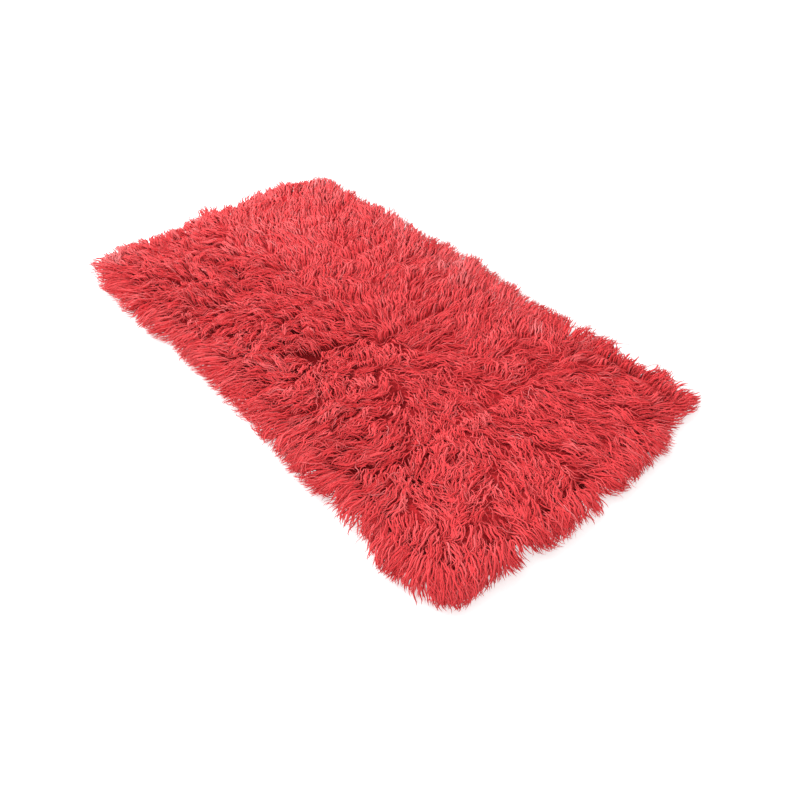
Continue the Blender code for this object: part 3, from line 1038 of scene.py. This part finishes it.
class RUG_OT_underwool(bpy.types.Operator):
    """Fill the pile with its dense underwool: a soft mass that follows the heights of the pile"""

    bl_idname = "rug.underwool"
    bl_label = "Underwool"

    def execute(self, context):
        settings = context.scene.rug_pile
        rng = np.random.default_rng(settings.seed + 2)
        maps = RugMaps(settings)
        deselect()
        columns, rows = UNDERWOOL_CELLS
        bpy.ops.mesh.primitive_grid_add(x_subdivisions=columns, y_subdivisions=rows, size=2.0, location=(0, 0, 0))
        wool = context.object
        wool.name = "underwool"
        wool.data.name = "underwool"
        points = np.empty(len(wool.data.vertices) * 3)
        wool.data.vertices.foreach_get("co", points)
        u, v, _ = points.reshape(-1, 3).T
        x, y = plan_inside(u, v, maps.cloth_lines, settings.underwool_inset)
        edge = np.maximum(np.abs(u), np.abs(v))
        rounded = np.sqrt(np.clip((1.0 - edge) / 0.03, 0.0, 1.0))
        z = read_map(maps.under, x, y) * rounded + rng.uniform(-1.5, 1.5, len(x)) * MM
        z = np.maximum(z, 3.0 * MM)
        wool.data.vertices.foreach_set("co", np.stack([x, y, z], axis=1).astype(np.float32).ravel())
        wool.data.update()
        bpy.ops.object.mode_set(mode="EDIT")
        bpy.ops.mesh.select_all(action="SELECT")
        bpy.ops.mesh.region_to_loop()
        bpy.ops.mesh.extrude_region_move()
        bpy.ops.transform.resize(value=(1.0, 1.0, 0.0), center_override=(0.0, 0.0, 1.2 * MM))
        bpy.ops.mesh.edge_face_add()
        bpy.ops.mesh.select_all(action="SELECT")
        bpy.ops.mesh.normals_make_consistent(inside=False)
        bpy.ops.object.mode_set(mode="OBJECT")
        bpy.ops.object.shade_smooth()
        wool.data.materials.append(felted_wool("dyed_underwool_painted_shade", settings))
        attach(wool, RUG_BODY)
        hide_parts(RUG_NODE)
        return {"FINISHED"}


class RUG_OT_pile(bpy.types.Operator):
    """Root the locks of the pile in the ground cloth, gathered in tufts, in strips along the rug"""

    bl_idname = "rug.pile"
    bl_label = "Pile"

    def execute(self, context):
        ground, settings = context.scene.rug_ground, context.scene.rug_pile
        rng = np.random.default_rng(settings.seed)
        maps = RugMaps(settings)
        size = (ground.width, ground.length)
        tufts = on_cloth(jittered_grid(size, settings.tuft_spacing, rng), maps)
        habits = tuft_habits(tufts, settings, maps, rng)
        tuft_reach = rng.uniform(-10.5, 4.5, len(tufts)) * MM - rim_extra(tufts)
        tuft_reach -= settings.lean_reach * leans_out(tufts, maps)
        leaders = lay_to_rim(tufts, habits, LOCK_STEPS, maps, tuft_reach)
        grip = rng.uniform(0.12, 0.48, len(tufts)) + 0.32 * read_map(maps.loose, *tufts.T)
        grip *= 1.0 - rng.uniform(0.0, 1.0, len(tufts)) * rim_share(tufts, maps)
        tones = rng.normal(0.36, 0.11, len(tufts))

        count = STRIPS * LOCKS_PER_STRIP
        rim_count = int(RIM_LOCK_SHARE * count)
        spacing = math.sqrt(ground.width * ground.length / (count - rim_count)) * 0.99
        spread = jittered_grid(size, spacing, rng)
        if len(spread) < count - rim_count:
            raise RuntimeError(f"only {len(spread)} roots for {count - rim_count} locks")
        spread = spread[np.sort(rng.permutation(len(spread))[:count - rim_count])]
        rim = edge_band(size, 30.0 * MM, rim_count, rng)
        places = np.concatenate([spread, rim])
        places[:, 1] += settings.near_density * (places[:, 1] ** 2 - 1.0)
        roots = on_cloth(places, maps)
        roots = roots[np.argsort(roots[:, 1], kind="stable")]
        tuft = nearest(roots, tufts)
        own = lock_habits(roots, tuft, tufts, habits, settings, maps, rng, stray=1.0)
        reach = tuft_reach[tuft] + rng.uniform(-5.0, 14.0, count) * MM
        path = lay_to_rim(roots, own, LOCK_STEPS, maps, reach)
        path = gather(path, leaders[tuft], grip[tuft], LOCK_STEPS)
        radius = settings.lock_radius * rng.uniform(0.65, 1.25, count)
        radius *= 1.0 + settings.near_density * roots[:, 1] / MAP_HALF_LENGTH
        tone = lock_tones(roots, tuft, tones, maps, rng, 0.08)
        wool = dyed_wool("dyed_wool_lock", settings)
        for strip in range(STRIPS):
            part = slice(strip * LOCKS_PER_STRIP, (strip + 1) * LOCKS_PER_STRIP)
            tubes = skin(path[part], radius[part], tone[part], LOCK_STEPS, settings.lock_flatness)
            mesh_piece(f"pile_strip_{strip + 1}", *tubes, wool)
        return {"FINISHED"}


class RUG_OT_wisps(bpy.types.Operator):
    """Scatter fine loose wisps over the pile and past its rim"""

    bl_idname = "rug.wisps"
    bl_label = "Wisps"

    def execute(self, context):
        ground, settings = context.scene.rug_ground, context.scene.rug_pile
        rng = np.random.default_rng(settings.seed + 1)
        maps = RugMaps(settings)
        count = 2 * WISPS_PER_HALF
        size = (ground.width, ground.length)
        tufts = on_cloth(jittered_grid(size, 0.6 * settings.tuft_spacing, rng), maps)
        habits = tuft_habits(tufts, settings, maps, rng)
        roots = on_cloth(rng.uniform(-1.0, 1.0, (count, 2)), maps)
        roots = roots[np.argsort(roots[:, 1], kind="stable")]
        tuft = nearest(roots, tufts)
        own = lock_habits(roots, tuft, tufts, habits, settings, maps, rng, stray=1.5)
        own["layer"] = np.maximum(own["layer"], 0.95)
        path = lay_to_rim(roots, own, WISP_STEPS, maps, rng.uniform(-18.0, 2.0, count) * MM - rim_extra(roots))
        radius = settings.wisp_radius * rng.uniform(0.7, 1.3, count)
        tone = lock_tones(roots, tuft, rng.normal(0.52, 0.12, len(tufts)), maps, rng, 0.10)
        wool = dyed_wool("dyed_wool_wisp", settings)
        for number, name in enumerate(("wisps_near", "wisps_far")):
            part = slice(number * WISPS_PER_HALF, (number + 1) * WISPS_PER_HALF)
            tubes = skin(path[part], radius[part], tone[part], WISP_STEPS, 1.0)
            mesh_piece(name, *tubes, wool)
        return {"FINISHED"}


class RUG_OT_stage(bpy.types.Operator):
    """Set up the pale floor, the soft light and the camera"""

    bl_idname = "rug.stage"
    bl_label = "Stage"

    def execute(self, context):
        settings = context.scene.rug_stage
        scene = context.scene
        scene.view_settings.view_transform = "Standard"
        deselect()
        bpy.ops.mesh.primitive_plane_add(size=24.0, location=(0.0, 0.0, -0.2 * MM))
        floor = context.object
        floor.name = "floor"
        floor.data.materials.append(light_table("opal_acrylic", settings))

        world = bpy.data.worlds.new("studio")
        scene.world = world
        world.use_nodes = True
        background = world.node_tree.nodes["Background"]
        background.inputs["Color"].default_value = linear("FFFFFF")
        background.inputs["Strength"].default_value = settings.sky_strength
        self.lamp("key", (-1.0, 2.4, 2.3), 2.2, settings.key_power)
        self.lamp("fill", (-1.6, -2.0, 2.2), 2.5, settings.fill_power)

        back = Vector((
            math.sin(settings.azimuth) * math.cos(settings.elevation),
            -math.cos(settings.azimuth) * math.cos(settings.elevation),
            math.sin(settings.elevation),
        ))
        right = (-back).cross(Vector((0.0, 0.0, 1.0))).normalized()
        up = right.cross(-back)
        tilted_right = right * math.cos(settings.roll) + up * math.sin(settings.roll)
        tilted_up = -right * math.sin(settings.roll) + up * math.cos(settings.roll)
        camera_data = bpy.data.cameras.new("camera")
        camera_data.lens = settings.lens
        camera_data.sensor_width = 36.0
        camera = bpy.data.objects.new("camera", camera_data)
        turn = Matrix((tilted_right, tilted_up, back)).transposed().to_4x4()
        camera.matrix_world = Matrix.Translation(Vector(settings.aim) + back * settings.distance) @ turn
        scene.collection.objects.link(camera)
        scene.camera = camera
        return {"FINISHED"}

    def lamp(self, name, place, size, power):
        """A square soft lamp aimed at the rug."""
        bpy.ops.object.light_add(type="AREA", location=place)
        lamp = bpy.context.object
        lamp.name = name
        lamp.data.shape = "SQUARE"
        lamp.data.size = size
        lamp.data.energy = power
        lamp.rotation_euler = (-Vector(place)).to_track_quat("-Z", "Y").to_euler()


class RUG_PT_sidebar(bpy.types.Panel):
    """Lists the settings and the steps"""

    bl_label = "Shag Rug"
    bl_idname = "RUG_PT_sidebar"
    bl_space_type = "VIEW_3D"
    bl_region_type = "UI"
    bl_category = "Shag Rug"

    def draw(self, context):
        scene = context.scene
        for settings in (scene.rug_ground, scene.rug_pile, scene.rug_stage):
            column = self.layout.column(align=True)
            for name in settings.__annotations__:
                column.prop(settings, name)
        for operator in (RUG_OT_ground_cloth, RUG_OT_underwool, RUG_OT_pile, RUG_OT_wisps, RUG_OT_stage):
            self.layout.operator(operator.bl_idname)


CLASSES = (
    GroundClothSettings,
    PileSettings,
    StageSettings,
    RUG_OT_ground_cloth,
    RUG_OT_underwool,
    RUG_OT_pile,
    RUG_OT_wisps,
    RUG_OT_stage,
    RUG_PT_sidebar,
)


def register():
    for cls in CLASSES:
        bpy.utils.register_class(cls)
    bpy.types.Scene.rug_ground = PointerProperty(type=GroundClothSettings)
    bpy.types.Scene.rug_pile = PointerProperty(type=PileSettings)
    bpy.types.Scene.rug_stage = PointerProperty(type=StageSettings)


def unregister():
    del bpy.types.Scene.rug_ground
    del bpy.types.Scene.rug_pile
    del bpy.types.Scene.rug_stage
    for cls in reversed(CLASSES):
        bpy.utils.unregister_class(cls)


def main():
    register()
    bpy.ops.rug.ground_cloth()
    bpy.ops.rug.underwool()
    bpy.ops.rug.pile()
    bpy.ops.rug.wisps()
    bpy.ops.rug.stage()


if __name__ == "__main__":
    main()
